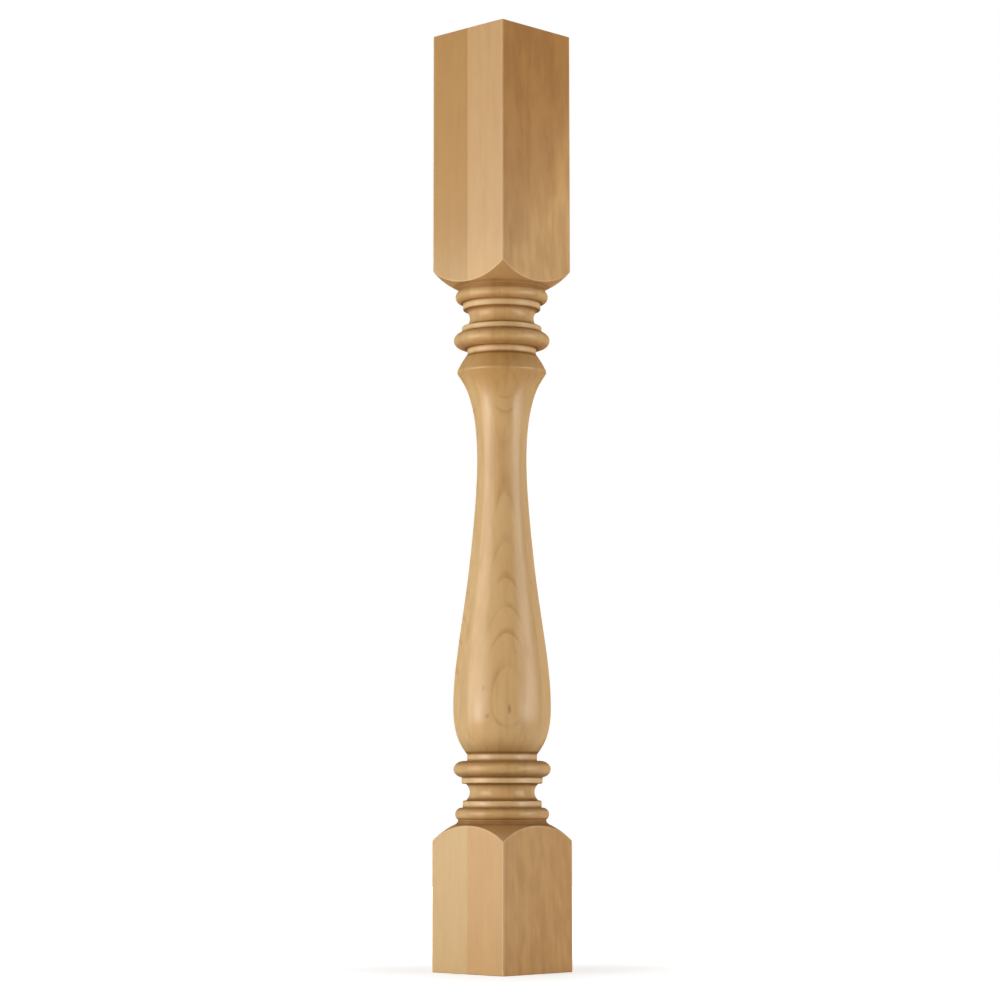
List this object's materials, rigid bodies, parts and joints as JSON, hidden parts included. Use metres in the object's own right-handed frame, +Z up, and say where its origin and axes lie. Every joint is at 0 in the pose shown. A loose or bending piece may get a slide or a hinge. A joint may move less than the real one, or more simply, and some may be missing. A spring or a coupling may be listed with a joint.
{
  "type": "cabinet column",
  "caption": "Square-turned wooden cabinet or island column: a square block at each end, mirrored ring turnings and a vase-shaped baluster between them, with arched shoulders.",
  "frame": {"origin": "centre of the foot block's bottom end face, on the turning axis", "axes": "+Z up along the turning axis, from the short foot block to the long head block; X and Y square to the four flat sides"},
  "size_m": [0.0952, 0.0952, 0.9144],
  "materials": {
    "maple": "satin"
  },
  "bodies": {
    "root": {"column": "maple"}
  },
  "joints": []
}
